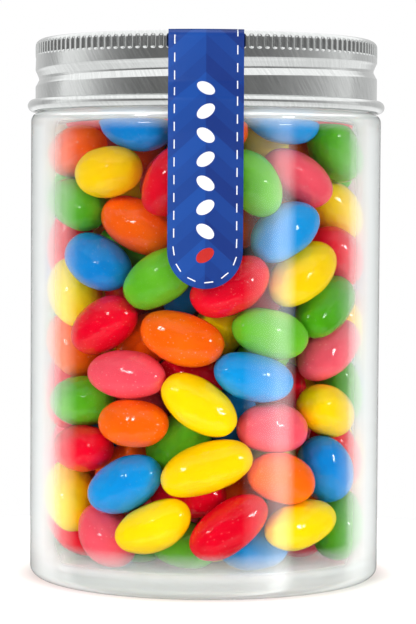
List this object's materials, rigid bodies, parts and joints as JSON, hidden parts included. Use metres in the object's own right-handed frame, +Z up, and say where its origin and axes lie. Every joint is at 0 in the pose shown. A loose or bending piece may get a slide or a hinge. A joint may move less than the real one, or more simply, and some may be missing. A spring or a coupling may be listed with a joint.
{
  "type": "jar of jelly beans",
  "caption": "Clear thick-walled screw-lid jar filled with glossy jelly beans in six colours, with a brushed metal lid and a blue seal strip over it.",
  "frame": {"origin": "middle of the jar's flat underside, on the surface that it stands on", "axes": "+Z up along the jar's axis; the front, with the seal strip, faces -Y, and +X is to the right of the front"},
  "size_m": [0.0896, 0.0908, 0.1346],
  "materials": {
    "jar": "polished clear plastic",
    "lid": "brushed",
    "seal_strip": "satin film",
    "jelly_beans": "glossy sugar shell"
  },
  "bodies": {
    "root": {"jar": "jar", "lid": "lid", "seal_strip": "seal_strip", "jelly_beans": "jelly_beans"}
  },
  "joints": []
}
